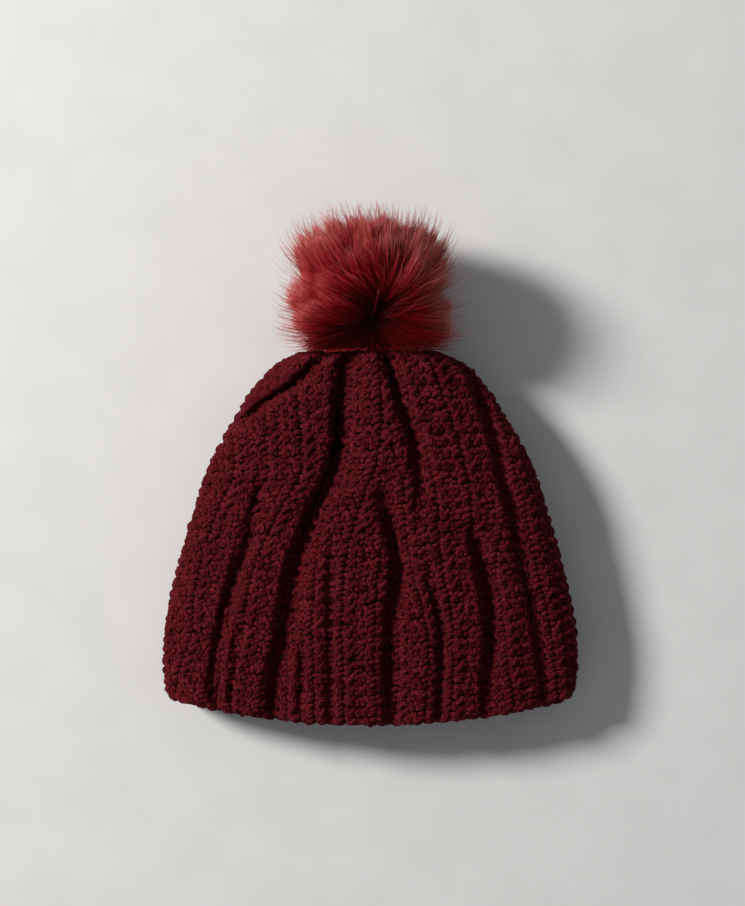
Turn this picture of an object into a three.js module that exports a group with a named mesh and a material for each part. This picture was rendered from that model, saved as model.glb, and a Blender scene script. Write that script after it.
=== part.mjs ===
// Crocheted ribbed beanie with a clip-on faux-fur pom-pom, lying flat and empty.
//
// Units are millimetres. +Z is up from the surface that the hat lies on, +Y runs from the hem to
// the crown, +X is to the wearer's left. The origin is at the bottom centre of the whole object.
//
// The hat is a rib fabric sewn into a tube and drawn shut at the crown, so it is an open bag with
// pleats that run into the crown. The pom-pom hangs on an elastic loop that a button holds inside.

import * as THREE from "three";

// ---- driving dimensions -------------------------------------------------------------------

const CROWN_Y = 66;                 // outer face of the crown
const HEM_Y = -142.5;               // hem at the middle of the upper layer
const HEM_BOW = 15;                 // the hem runs this much shorter at the two side folds
const HEM_HALF_WIDTH = 115;
const WALL = 8;                     // thickness of the crocheted fabric
const CROWN_HOLE_R = 8;             // opening left by the drawstring
const CROWN_Z = 26;                 // height of that opening

// Half width and height of the flattened tube, from crown to hem: [y, half width, height].
const TUBE = [
  [66, 41, 39],
  [58, 52, 44],
  [43, 66, 47],
  [28, 75, 49],
  [5, 88, 50],
  [-30, 99, 49],
  [-65, 108, 47],
  [-100, 114, 45],
  [-122, 115, 43],
  [HEM_Y, 113, 40],
];
const SIDE_FOLD_HEIGHT = 0.46;      // height of the side fold, as a share of the tube's height
const TOP_ROUNDNESS = 0.62;         // power of the sine that rounds the upper layer
const UNDER_ROUNDNESS = 0.4;        // the same for the layer that lies on the surface
const UNDER_FLAT = 1.6;             // the underside is flat where it would be lower than this

// Folds of the upper layer: [y, x of the fold, depth] from crown to hem.
const FOLD_SHOULDER = [[62, -30, 6], [46, -45, 7], [36, -60, 6], [22, -72, 0]];
const FOLD_LEFT_MAIN = [
  [62, -16, 10], [38, -18, 11], [8, -22, 14], [-18, -30, 12], [-50, -42, 11], [-95, -50, 10], [-131, -54, 8],
];
const FOLD_TOP_CENTRE = [[60, 8, 8], [38, 15, 9], [15, 23, 8], [-4, 26, 5], [-38, 28, 0]];
const FOLD_CENTRE = [[-8, 5, 0], [-34, 10, 8], [-51, 13, 9], [-78, 10, 8], [-137, 9, 5]];
const FOLD_RIGHT = [[-42, 28, 0], [-75, 36, 4], [-128, 37, 4]];
const FOLD_RIGHT_LOW = [[-30, 55, 0], [-50, 58, 8], [-73, 64, 8], [-122, 63, 5], [-136, 62, 3]];
const FOLD_RIGHT_LONG = [[57, 50, 8], [16, 66, 7], [-23, 77, 6], [-73, 87, 4], [-123, 94, 3]];
const FOLD_LEFT_LOW = [[12, -60, 0], [-40, -67, 4], [-73, -78, 6], [-109, -85, 5], [-125, -86, 4]];
const UPPER_FOLDS = [
  FOLD_SHOULDER, FOLD_LEFT_MAIN, FOLD_TOP_CENTRE, FOLD_CENTRE,
  FOLD_RIGHT, FOLD_RIGHT_LOW, FOLD_RIGHT_LONG, FOLD_LEFT_LOW,
];
const FOLD_WIDTH = 5;               // half width of a fold in the outer face
const FOLD_WIDTH_INSIDE = 8.5;      // half width of the same fold inside
const FOLD_DEPTH_OUTSIDE = 0.85;    // its depth in the outer face, as a share of its depth in the table
const FOLD_DEPTH_INSIDE = 0.55;     // its depth inside, as a share of its depth in the table
const FOLD_PAST_TOP = 6;            // a fold carries on this far past its first row
const FOLD_PAST_END = 30;           // and this far past its last row
const FOLD_EDGE_FADE = 3;           // how quickly the folds grow from nothing at the side folds

const UPPER_STEPS = 56;             // faces across the upper layer
const UNDER_STEPS = 20;             // faces across the layer underneath
const OUTER_LEVELS = [62, 54, 45, 36, 26, 15, 4, -8, -22, -36, -50, -64, -80, -96, -112, -127, -138];
const INNER_LEVELS = [-138, -122, -100, -78, -56, -34, -12, 8, 26, 40, 51];
const HEM_INSETS = [0.3 * WALL, 0.7 * WALL];    // the hem is rounded off by these two loops
// Loops that close the crown on its opening: how far each has closed, and its y.
const CROWN_OUTSIDE = [[1, CROWN_Y - 2], [0.86, CROWN_Y], [0.5, CROWN_Y], [0.2, CROWN_Y - 1.5]];
const CROWN_INSIDE = [[0.15, CROWN_Y - WALL - 1], [0.5, CROWN_Y - WALL + 1], [1, CROWN_Y - WALL + 1]];

// Pom-pom and its fastening. Heights h run along the pom-pom's own axis, from the pivot.
const PIVOT = new THREE.Vector3(0, 71.5, 30);
const POMPOM_TILT = THREE.MathUtils.degToRad(21);
const POMPOM_CENTRE_H = 37.5;
const FUR_RADIUS = 43;
const FUR_HALF_LENGTH = 35;
const FUR_BASE_RADIUS = 17;         // the fur is pressed back round the gathered base
const FUR_BASE_FLARE = 2;           // the outside of the fur starts this much wider
const FUR_SIDES = 30;
const FUR_STEPS = 14;
const BACKING_CENTRE_H = 33;
const BACKING_RADIUS = 24;
const BACKING_THICKNESS = 1.5;
const BACKING_MOUTH_RADIUS = 10;
const BACKING_SIDES = 24;
const FILLING_CAVITY_RADIUS = 11;   // hollow in the filling that leaves room for the knot
const FILLING_CAVITY_H = 19;
const FILLING_CAVITY_DISH = 2;      // the hollow is this much deeper in the middle
const FILLING_SIDES = 22;
const BALL_STEPS = 12;              // steps of a ball's profile from its mouth to its far end
const CAVITY_STEPS = 10;
const THREAD_RADIUS = 0.7;
const THREAD_SIDES = 8;
const GATHER_THREAD_H = 9.6;
const GATHER_THREAD_OUTSIDE = 2;    // the thread lies this far outside the backing's mouth
const GATHER_THREAD_STEPS = 28;
const GAP = 0.3;                    // clearance between pieces that lie against each other

const BUTTON_RADIUS = 11;
const BUTTON_THICKNESS = 4;
const BUTTON_H = -22;               // middle of the button, inside the hat
const BUTTON_EDGE_HEIGHT = 0.6;     // the button's edges are bevelled this high
const BUTTON_EDGE_WIDTH = 0.3;
const BUTTON_HOLE_RADIUS = 1.8;
const BUTTON_HOLE_SPACING = 7;
const BUTTON_CURVE_STEPS = 16;
const ELASTIC_RADIUS = 1.25;
const ELASTIC_STEPS = 56;
const CORD_SIDES = 8;
const KNOT_RADIUS = 4;
const KNOT_H = 11;
const KNOT_START_ANGLE = -0.95;     // where the neck runs into the knot, from the knot's equator
const KNOT_STEPS = 6;
const KNOT_SIDES = 16;
// The neck under the knot, where the elastic's two legs lie side by side: [radius, h].
const NECK = [[0, 0.1], [2.4, 0.1], [2.6, 3], [2.2, KNOT_H - KNOT_RADIUS + 0.6]];

const DRAWSTRING_RING_R = 11;
const DRAWSTRING_RADIUS = 1.6;
const DRAWSTRING_Y = 69;
const DRAWSTRING_SIDES = 10;
const DRAWSTRING_STEPS = 32;

const SEAM_RADIUS = 1.9;
const SEAM_X = 30;
const SEAM_HEM_Y = -132;
const SEAM_TOP_Y = 44;
const SEAM_STEP = 11;
const SEAM_LEAN = 0.3;              // the seam has come in by this share of its x at its top end
const SEAM_STEPS = 34;

const WOOL = 0x3b0c11;
const WOOL_ROUGHNESS = 0.95;
const ELASTIC = 0x1a1416;
const WOOD = 0x8a5a34;
const FUR = 0x7a1c22;
const BACKING = 0x4a1015;
const FILLING = 0xe8e2d8;
const THREAD = 0x5a0f16;

// ---- small helpers ------------------------------------------------------------------------

// Smooth value of column k of a table whose rows start with y and run from high y to low y.
function along(table, y, k) {
  const rows = table.length;
  if (y >= table[0][0]) return table[0][k];
  if (y <= table[rows - 1][0]) return table[rows - 1][k];
  let i = 0;
  while (y < table[i + 1][0]) i += 1;
  const t = (table[i][0] - y) / (table[i][0] - table[i + 1][0]);
  const before = table[Math.max(i - 1, 0)];
  const after = table[Math.min(i + 2, rows - 1)];
  const span = table[i][0] - table[i + 1][0];
  const slopeStart = span * (table[i + 1][k] - before[k]) / (before[0] - table[i + 1][0]);
  const slopeEnd = span * (after[k] - table[i][k]) / (table[i][0] - after[0]);
  const t2 = t * t;
  const t3 = t2 * t;
  return (2 * t3 - 3 * t2 + 1) * table[i][k] + (t3 - 2 * t2 + t) * slopeStart
    + (3 * t2 - 2 * t3) * table[i + 1][k] + (t3 - t2) * slopeEnd;
}

// Depth of all the folds at one place on the upper layer.
function foldDepth(x, y, width) {
  let depth = 0;
  for (const fold of UPPER_FOLDS) {
    const top = fold[0][0] + FOLD_PAST_TOP;
    const bottom = fold[fold.length - 1][0] - FOLD_PAST_END;
    if (y > top || y < bottom) continue;
    const offset = (x - along(fold, y, 1)) / width;
    depth = Math.max(depth, Math.max(along(fold, y, 2), 0) * Math.exp(-offset * offset));
  }
  return depth;
}

// A closed grid of points, joined up in both directions, as one mesh with its faces pointing out.
function closedGrid(loops) {
  const count = loops[0].length;
  const positions = [];
  const index = [];
  for (const loop of loops) {
    for (const point of loop) positions.push(point.x, point.y, point.z);
  }
  for (let i = 0; i < loops.length; i += 1) {
    const next = (i + 1) % loops.length;
    for (let j = 0; j < count; j += 1) {
      const right = (j + 1) % count;
      const a = i * count + j;
      const b = next * count + j;
      const c = next * count + right;
      const d = i * count + right;
      index.push(a, b, c, a, c, d);
    }
  }
  const geometry = new THREE.BufferGeometry();
  geometry.setAttribute("position", new THREE.Float32BufferAttribute(positions, 3));
  geometry.setIndex(index);
  geometry.computeVertexNormals();
  return geometry;
}

function piece(name, geometry, colour, roughness) {
  const material = new THREE.MeshStandardMaterial({ color: colour, roughness, metalness: 0 });
  const mesh = new THREE.Mesh(geometry, material);
  mesh.name = name;
  return mesh;
}

// A tube of even section along a smooth line.
function tube(points, radius, steps, sides) {
  const section = new THREE.Shape();
  for (let i = 0; i < sides; i += 1) {
    const angle = (2 * Math.PI * i) / sides;
    const x = radius * Math.cos(angle);
    const y = radius * Math.sin(angle);
    if (i === 0) section.moveTo(x, y);
    else section.lineTo(x, y);
  }
  section.closePath();
  const path = new THREE.CatmullRomCurve3(points);
  return new THREE.ExtrudeGeometry(section, { steps, extrudePath: path, bevelEnabled: false });
}

// Section of a ring round the axis, as a closed lathe profile at height h.
function torusProfile(ringRadius, radius, h, sides) {
  const profile = [];
  for (let i = 0; i <= sides; i += 1) {
    const angle = (2 * Math.PI * (i % sides)) / sides;
    profile.push(new THREE.Vector2(ringRadius + radius * Math.cos(angle), h + radius * Math.sin(angle)));
  }
  return profile;
}

// ---- the crocheted bag --------------------------------------------------------------------

// How much shorter the fabric is at x than at the middle. It grows from nothing to the full bow.
function hemBow(x, y) {
  return HEM_BOW * Math.max(0, y / HEM_Y) * (x / HEM_HALF_WIDTH) ** 2;
}

// One point of the tube's section. turn runs 0..1 across the upper layer from the left fold to
// the right fold, then 1..2 back underneath. inset is 0 on the outer face and WALL on the inner.
function tubePoint(y, turn, inset) {
  const inside = inset > 0;
  const halfWidth = along(TUBE, y, 1) - inset;
  const height = along(TUBE, y, 2);
  const sideZ = height * SIDE_FOLD_HEIGHT;
  const angle = Math.PI * turn;
  const x = -halfWidth * Math.cos(angle);
  const lift = Math.abs(Math.sin(angle));
  const bow = hemBow(x, y);
  if (turn <= 1) {
    const width = inside ? FOLD_WIDTH_INSIDE : FOLD_WIDTH;
    const share = inside ? FOLD_DEPTH_INSIDE : FOLD_DEPTH_OUTSIDE;
    const edgeFade = Math.min(1, FOLD_EDGE_FADE * lift);
    const dome = (height - inset - sideZ) * lift ** TOP_ROUNDNESS;
    return new THREE.Vector3(x, y + bow, sideZ + dome - share * edgeFade * foldDepth(x, y, width));
  }
  const drop = (sideZ + UNDER_FLAT - inset) * lift ** UNDER_ROUNDNESS;
  const z = Math.max(sideZ - drop, inside ? inset : 0);
  return new THREE.Vector3(x, y + bow, z);
}

function tubeSection(y, inset) {
  const points = [];
  for (let j = 0; j < UPPER_STEPS; j += 1) points.push(tubePoint(y, j / UPPER_STEPS, inset));
  for (let j = 0; j < UNDER_STEPS; j += 1) points.push(tubePoint(y, 1 + j / UNDER_STEPS, inset));
  return points;
}

// The crown closes from a section of the tube to the small round opening at its middle.
function crownSection(section, closing, y) {
  return section.map((point, j) => {
    const turn = j < UPPER_STEPS ? j / UPPER_STEPS : 1 + (j - UPPER_STEPS) / UNDER_STEPS;
    const angle = Math.PI * turn;
    const hole = new THREE.Vector3(
      -CROWN_HOLE_R * Math.cos(angle), y, CROWN_Z + CROWN_HOLE_R * Math.sin(angle));
    return point.clone().lerp(hole, closing).setY(y);
  });
}

function crochetBody() {
  const outerTop = tubeSection(OUTER_LEVELS[0], 0);
  const innerTop = tubeSection(INNER_LEVELS[INNER_LEVELS.length - 1], WALL);
  const loops = [
    ...CROWN_OUTSIDE.map(([closing, y]) => crownSection(outerTop, closing, y)),
    ...OUTER_LEVELS.map((y) => tubeSection(y, 0)),
    ...HEM_INSETS.map((inset) => tubeSection(HEM_Y, inset)),
    ...INNER_LEVELS.map((y) => tubeSection(y, WALL)),
    ...CROWN_INSIDE.map(([closing, y]) => crownSection(innerTop, closing, y)),
  ];
  return piece("crochet_body", closedGrid(loops), WOOL, WOOL_ROUGHNESS);
}

// The yarn that whips the two ends of the ribbed fabric together runs up the inside of the back.
function seamYarn() {
  const points = [];
  for (let y = SEAM_HEM_Y; y <= SEAM_TOP_Y; y += SEAM_STEP) {
    const x = SEAM_X * (1 - SEAM_LEAN * Math.max(y, 0) / SEAM_TOP_Y);
    points.push(new THREE.Vector3(x, y + hemBow(x, y), WALL + SEAM_RADIUS + GAP));
  }
  return piece("seam_yarn", tube(points, SEAM_RADIUS, SEAM_STEPS, CORD_SIDES), WOOL, WOOL_ROUGHNESS);
}

// ---- crown drawstring ---------------------------------------------------------------------

function crownDrawstring() {
  const profile = torusProfile(DRAWSTRING_RING_R, DRAWSTRING_RADIUS, 0, DRAWSTRING_SIDES);
  const geometry = new THREE.LatheGeometry(profile, DRAWSTRING_STEPS);
  const mesh = piece("crown_drawstring", geometry, WOOL, WOOL_ROUGHNESS);
  mesh.position.set(0, DRAWSTRING_Y, CROWN_Z);
  return mesh;
}

// ---- button and elastic -------------------------------------------------------------------

// These are made with the pom-pom's axis along +Y, with the pivot at the origin.

function anchorButton() {
  const outline = new THREE.Shape();
  outline.absarc(0, 0, BUTTON_RADIUS - 2 * BUTTON_EDGE_WIDTH, 0, 2 * Math.PI, false);
  for (const side of [-1, 1]) {
    const hole = new THREE.Path();
    hole.absarc(side * BUTTON_HOLE_SPACING / 2, 0, BUTTON_HOLE_RADIUS, 0, 2 * Math.PI, true);
    outline.holes.push(hole);
  }
  const geometry = new THREE.ExtrudeGeometry(outline, {
    depth: BUTTON_THICKNESS - 2 * BUTTON_EDGE_HEIGHT,
    curveSegments: BUTTON_CURVE_STEPS,
    bevelEnabled: true,
    bevelThickness: BUTTON_EDGE_HEIGHT,
    bevelSize: BUTTON_EDGE_WIDTH,
    bevelSegments: 1,
  });
  geometry.translate(0, 0, -BUTTON_THICKNESS / 2 + BUTTON_EDGE_HEIGHT);
  geometry.rotateX(-Math.PI / 2);
  geometry.translate(0, BUTTON_H, 0);
  return piece("anchor_button", geometry, WOOD, 0.5);
}

// The loop comes down through one hole, crosses behind the button and goes up the other.
function elasticLoop() {
  const leg = BUTTON_HOLE_SPACING / 2;
  const back = BUTTON_H - BUTTON_THICKNESS / 2 - ELASTIC_RADIUS - GAP;
  const half = [[1.6, -0.8], [2.2, -7], [leg, BUTTON_H + 4], [leg, BUTTON_H - 1.5], [leg - 1.4, back]];
  const down = half.map(([x, h]) => new THREE.Vector3(-x, h, 0));
  const up = half.map(([x, h]) => new THREE.Vector3(x, h, 0)).reverse();
  const geometry = tube([...down, ...up], ELASTIC_RADIUS, ELASTIC_STEPS, CORD_SIDES);
  return piece("elastic_loop", geometry, ELASTIC, 0.7);
}

function elasticKnot() {
  const profile = NECK.map(([radius, h]) => new THREE.Vector2(radius, h));
  const turned = Math.PI / 2 - KNOT_START_ANGLE;
  for (let i = 1; i <= KNOT_STEPS; i += 1) {
    const angle = KNOT_START_ANGLE + (i / KNOT_STEPS) * turned;
    profile.push(new THREE.Vector2(KNOT_RADIUS * Math.cos(angle), KNOT_H + KNOT_RADIUS * Math.sin(angle)));
  }
  profile[profile.length - 1].x = 0;
  return piece("elastic_knot", new THREE.LatheGeometry(profile, KNOT_SIDES), ELASTIC, 0.7);
}

// ---- pom-pom ------------------------------------------------------------------------------

// Arc of a sphere on the axis, as a lathe profile that ends on the axis. It starts where the sphere
// has the radius of the mouth, on the side of the hat.
function ballArc(radius, centreH, mouthRadius, steps) {
  const from = -Math.acos(mouthRadius / radius);
  const points = [];
  for (let i = 0; i < steps; i += 1) {
    const angle = from + (Math.PI / 2 - from) * (i / steps);
    points.push(new THREE.Vector2(radius * Math.cos(angle), centreH + radius * Math.sin(angle)));
  }
  points.push(new THREE.Vector2(0, centreH + radius));
  return points;
}

function furPile() {
  const cavity = ballArc(BACKING_RADIUS + GAP, BACKING_CENTRE_H, FUR_BASE_RADIUS, CAVITY_STEPS);
  const base = (FUR_BASE_RADIUS + FUR_BASE_FLARE) / FUR_RADIUS;
  const outside = ballArc(1, 0, base, FUR_STEPS).map((p) => new THREE.Vector2(
    p.x * FUR_RADIUS, POMPOM_CENTRE_H + p.y * FUR_HALF_LENGTH));
  const profile = [...cavity.reverse(), ...outside];
  return piece("pompom_fur", new THREE.LatheGeometry(profile, FUR_SIDES), FUR, 0.8);
}

function furBacking() {
  const inner = BACKING_RADIUS - BACKING_THICKNESS;
  const outside = ballArc(BACKING_RADIUS, BACKING_CENTRE_H, BACKING_MOUTH_RADIUS, BALL_STEPS);
  const inside = ballArc(inner, BACKING_CENTRE_H, BACKING_MOUTH_RADIUS, BALL_STEPS);
  const profile = [...inside.reverse(), ...outside];
  return piece("pompom_backing", new THREE.LatheGeometry(profile, BACKING_SIDES), BACKING, 0.9);
}

function filling() {
  const radius = BACKING_RADIUS - BACKING_THICKNESS - GAP;
  const profile = [
    new THREE.Vector2(0, FILLING_CAVITY_H),
    new THREE.Vector2(FILLING_CAVITY_RADIUS, FILLING_CAVITY_H - FILLING_CAVITY_DISH),
    ...ballArc(radius, BACKING_CENTRE_H, FILLING_CAVITY_RADIUS, BALL_STEPS),
  ];
  return piece("pompom_filling", new THREE.LatheGeometry(profile, FILLING_SIDES), FILLING, 0.95);
}

function gatherThread() {
  const radius = BACKING_MOUTH_RADIUS + GATHER_THREAD_OUTSIDE;
  const profile = torusProfile(radius, THREAD_RADIUS, GATHER_THREAD_H, THREAD_SIDES);
  return piece("gather_thread", new THREE.LatheGeometry(profile, GATHER_THREAD_STEPS), THREAD, 0.7);
}

// ---- assembly -----------------------------------------------------------------------------

const pompomAssembly = new THREE.Group();
pompomAssembly.position.copy(PIVOT);
pompomAssembly.rotation.x = POMPOM_TILT;
pompomAssembly.add(
  anchorButton(),
  elasticLoop(),
  elasticKnot(),
  furBacking(),
  filling(),
  gatherThread(),
  furPile(),
);

const beanie = new THREE.Group();
beanie.add(crochetBody(), seamYarn(), crownDrawstring(), pompomAssembly);

export default beanie;
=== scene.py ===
"""Looks of the crocheted beanie: every stitch of the rib fabric is its own loop of yarn laid on the
folded shape of the hat, and the pom-pom is long faux fur combed away from its parting."""

import math

import bpy
import numpy as np
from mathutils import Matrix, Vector


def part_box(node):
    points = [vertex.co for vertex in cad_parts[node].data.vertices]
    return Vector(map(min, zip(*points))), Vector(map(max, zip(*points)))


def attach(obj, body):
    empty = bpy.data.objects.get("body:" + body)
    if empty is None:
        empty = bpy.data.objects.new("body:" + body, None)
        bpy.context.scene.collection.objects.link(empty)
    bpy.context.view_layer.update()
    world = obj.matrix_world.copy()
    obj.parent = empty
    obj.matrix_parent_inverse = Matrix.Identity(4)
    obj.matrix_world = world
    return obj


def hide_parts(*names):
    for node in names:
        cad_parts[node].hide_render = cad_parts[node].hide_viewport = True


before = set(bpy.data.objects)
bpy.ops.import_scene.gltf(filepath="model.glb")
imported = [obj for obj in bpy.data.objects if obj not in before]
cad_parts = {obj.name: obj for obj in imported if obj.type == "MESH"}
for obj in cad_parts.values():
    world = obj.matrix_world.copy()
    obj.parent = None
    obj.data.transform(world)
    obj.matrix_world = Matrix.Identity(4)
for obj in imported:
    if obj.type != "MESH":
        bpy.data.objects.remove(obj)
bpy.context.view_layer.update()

# ---- sizes, in millimetres; the hat lies with its hem towards -Y and its crown towards +Y ----

MM = 0.001

hat_low, hat_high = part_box("crochet_body")
HEM_Y = hat_low[1] / MM
CROWN_Y = hat_high[1] / MM
HALF_WIDTH = hat_high[0] / MM

# Half width and height of the flattened tube, from crown to hem: y, half width, height.
TUBE = np.array([
    [66, 41, 39], [58, 52, 44], [43, 66, 47], [28, 75, 49], [5, 88, 50], [-30, 99, 49],
    [-65, 108, 47], [-100, 114, 45], [-122, 115, 43], [-142.5, 113, 40],
])
SIDE_SHARE = 0.46       # height of the side fold, as a share of the tube's height
TOP_POWER = 0.62        # power of the sine that rounds the upper layer
UNDER_POWER = 0.4       # the same for the layer that lies on the floor
UNDER_FLAT = 1.6        # the underside is flat where it would be lower than this
HEM_BOW = 15            # the hem is this much shorter at the side folds
WALL = 8
INSIDE_FOLDS = {"share": 0.6, "widen": 3.5}     # the same folds on the inner face: shallower and wider
CROWN_HOLE = np.array([0.0, 66.0, 26.0])
CROWN_HOLE_RADIUS = 8

# Folds of the upper layer from crown to hem: y, x of the lowest line, depth.
FOLD_SHOULDER = np.array([[64, -26, 7], [46, -45, 8], [36, -60, 7], [22, -74, 2], [10, -86, 0]])
FOLD_LEFT = np.array([
    [66, -17, 10], [38, -20, 12], [15, -22, 15], [-2, -27, 19], [-18, -34, 17], [-34, -40, 15],
    [-50, -45, 13], [-73, -49, 11], [-95, -52, 11], [-117, -56, 10], [-142, -56, 7],
])
FOLD_TOP = np.array([[66, 6, 9], [38, 14, 10], [15, 22, 9], [-4, 25, 6], [-22, 26, 2], [-38, 27, 0]])
FOLD_CENTRE = np.array([
    [0, 4, 0], [-12, 5, 3], [-34, 9, 9], [-51, 12, 10], [-78, 9, 9], [-117, 8, 8], [-142, 9, 6],
])
FOLD_RIGHT = np.array([[-42, 28, 0], [-62, 32, 2.5], [-78, 36, 4.5], [-128, 37, 5], [-142, 37, 4]])
FOLD_LOW = np.array([
    [-28, 54, 0], [-45, 56, 7], [-60, 60, 9], [-78, 63, 9], [-105, 63, 8], [-125, 62, 5], [-142, 62, 3],
])
FOLD_LONG = np.array([
    [66, 42, 8], [57, 50, 8], [38, 59, 8], [16, 66, 7], [-6, 71, 6], [-23, 76, 6], [-45, 80, 5],
    [-73, 86, 4.5], [-100, 91, 4], [-142, 95, 4],
])
FOLD_LOW_LEFT = np.array([
    [12, -60, 0], [-10, -62, 3], [-40, -68, 5], [-73, -79, 7], [-109, -86, 6], [-142, -87, 4],
])
FOLD_MINOR_A = np.array([[-80, -71, 0], [-95, -73, 3], [-123, -77, 3], [-142, -78, 2]])
FOLD_MINOR_B = np.array([[-78, -38, 0], [-100, -38, 3], [-142, -39, 3]])
FOLD_MINOR_C = np.array([[-30, -21, 0], [-50, -22, 2], [-90, -22, 3], [-142, -22, 2.5]])
# Each fold with its half widths on the left and the right, and how far its left edge leans over.
FOLDS = [
    (FOLD_SHOULDER, 3.0, 5.0, 1.0), (FOLD_LEFT, 3.4, 10.0, 3.8), (FOLD_TOP, 3.2, 6.0, 2.4),
    (FOLD_CENTRE, 3.4, 8.5, 3.0), (FOLD_RIGHT, 2.4, 3.6, 0.6), (FOLD_LOW, 3.0, 7.0, 2.4),
    (FOLD_LONG, 3.0, 6.0, 1.8), (FOLD_LOW_LEFT, 2.4, 4.5, 1.2), (FOLD_MINOR_A, 2.0, 2.6, 0.0),
    (FOLD_MINOR_B, 2.0, 2.6, 0.0), (FOLD_MINOR_C, 2.0, 2.6, 0.0),
]

rng = np.random.default_rng(11)

# ---- reading the shape tables ----


def along(table, y, column):
    """Smooth value of one column of a table whose rows run from high y to low y."""
    ys, values = table[:, 0], table[:, column]
    slope = np.gradient(values, ys)
    y = np.clip(np.asarray(y, float), ys[-1], ys[0])
    i = np.clip(np.searchsorted(-ys, -y, side="right") - 1, 0, len(ys) - 2)
    span = ys[i + 1] - ys[i]
    t = (y - ys[i]) / span
    t2, t3 = t * t, t * t * t
    start, end = 2 * t3 - 3 * t2 + 1, 3 * t2 - 2 * t3
    return (start * values[i] + (t3 - 2 * t2 + t) * span * slope[i]
            + end * values[i + 1] + (t3 - t2) * span * slope[i + 1])


def smooth_step(low, high, value):
    t = np.clip((value - low) / (high - low), 0, 1)
    return t * t * (3 - 2 * t)


def unit(vectors):
    return vectors / np.maximum(np.linalg.norm(vectors, axis=-1, keepdims=True), 1e-9)


# ---- the folded shape of the hat ----

LEVELS = 168            # levels of the hat between crown and hem
CAP_LEVELS = 14         # levels that close the crown on its opening
TUCK = 0.85             # the upper layer's columns run this far round under the side folds
TOP_Y = 57              # where the crown starts to close
HEM_LEVEL_Y = HEM_Y + 5
RIM_AT = 1.7            # the edge that leans over a fold is this many left half widths away from it
RIM_WIDTH = 1.6
DEEP_FOLD = 12          # a fold this deep leans over by the whole of its amount
RING_OUT = 1.5          # the outer face ends this far past the crown hole's middle
CAP_OUT = 0.5           # the middle of the cap bulges this far past the CAD's crown


def fold_field(x, y, share=1.0, widen=0.0):
    """Depth of the folds, and how far the fabric beside them leans over them."""
    depth = np.zeros_like(x)
    lean = np.zeros_like(x)
    for table, left, right, over in FOLDS:
        deep = np.maximum(along(table, y, 2), 0) * share
        off = x - along(table, y, 1)
        width = np.where(off < 0, left, right) + widen
        depth = np.maximum(depth, deep * np.exp(-(off / width) ** 2))
        rim = (off + RIM_AT * left) / (RIM_WIDTH * left)
        lean += over * deep / DEEP_FOLD * np.exp(-rim * rim)
    return depth, lean


def tube_point(angle, y, inset=0.0, share=1.0, widen=0.0):
    """Points of the flattened tube. Angle 0 is the left fold, pi the right one, then on underneath."""
    half = along(TUBE, y, 1) - inset
    height = along(TUBE, y, 2)
    side = height * SIDE_SHARE
    x = -half * np.cos(angle)
    lift = np.abs(np.sin(angle))
    above = np.sin(angle) >= 0
    depth, lean = fold_field(x, y, share, widen)
    edge = np.minimum(1, 3 * lift)
    dome = side + (height - inset - side) * lift ** TOP_POWER - edge * depth
    under = np.maximum(side - (side + UNDER_FLAT - inset) * lift ** UNDER_POWER, inset)
    x = x + np.where(above, edge * lean, 0)
    bow = HEM_BOW * np.maximum(0, y / HEM_Y) * (x / HALF_WIDTH) ** 2
    return np.stack([x, y + bow, np.where(above, dome, under)], -1)


def level_ys():
    return np.linspace(TOP_Y, HEM_LEVEL_Y, LEVELS)


def surface(angles, inset=0.0, share=1.0, widen=0.0):
    """Grid of points and outward normals, level by level from the crown opening to the hem."""
    grid = tube_point(angles[None, :], level_ys()[:, None], inset, share, widen)
    if inset:
        ring_y = CROWN_HOLE[1] - WALL + 1
    else:
        ring_y = CROWN_HOLE[1] + RING_OUT
    ring = np.stack([
        CROWN_HOLE[0] - CROWN_HOLE_RADIUS * np.cos(angles),
        np.full_like(angles, ring_y),
        CROWN_HOLE[2] + CROWN_HOLE_RADIUS * np.sin(angles),
    ], -1)
    closing = np.linspace(1, 0, CAP_LEVELS, endpoint=False)[:, None, None]
    cap = grid[:1] * (1 - closing) + ring[None] * closing
    near_ring = closing[..., 0]
    bulge = CROWN_Y + CAP_OUT - inset - grid[:1, :, 1] * (1 - near_ring) - ring_y * near_ring
    cap[..., 1] += bulge * np.sin(np.pi * np.sqrt(1 - near_ring)) ** 0.8
    grid = np.concatenate([cap, grid])
    normal = unit(np.cross(np.gradient(grid, axis=0), np.gradient(grid, axis=1)))
    return grid, normal


UNDER_LAP = 0.25        # the layer underneath runs on this far past where the upper rows end
upper_angles = np.linspace(-TUCK, math.pi + TUCK, 1500)
under_angles = np.linspace(math.pi + TUCK - UNDER_LAP, 2 * math.pi - TUCK + UNDER_LAP, 500)

# ---- rows of crochet: each is a column of stitches from the crown to the hem ----

ROW_WIDTH = 9.1
CROWN_ROW_WIDTH = 9.8
STITCH = 6.4            # height of a stitch at the hem
CROWN_STITCH = 7.1
# Lines that the rows of the middle and the right of the upper layer run beside: y, x.
MIDDLE_ROWS = np.array([[66, -4], [38, -3], [5, -5], [-17, -13], [-40, -20], [-60, -22], [-142, -22]])
RIGHT_ROWS = np.array([
    [66, 6], [38, 14], [15, 22], [-4, 25.5], [-20, 27], [-40, 28.5], [-62, 32], [-78, 36], [-142, 37],
])
SPLIT_HIGH, SPLIT_LOW = 0, -12      # between these levels the middle's right edge changes folds
SHOULDER_END = 14       # the rows beyond the shoulder fold stop at this level
ROW_LAP = 0.25          # a row goes on past the fold that ends its group by this share of its width
SHORTEST_RUN = 6        # levels; a shorter run of a row is left out


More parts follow.
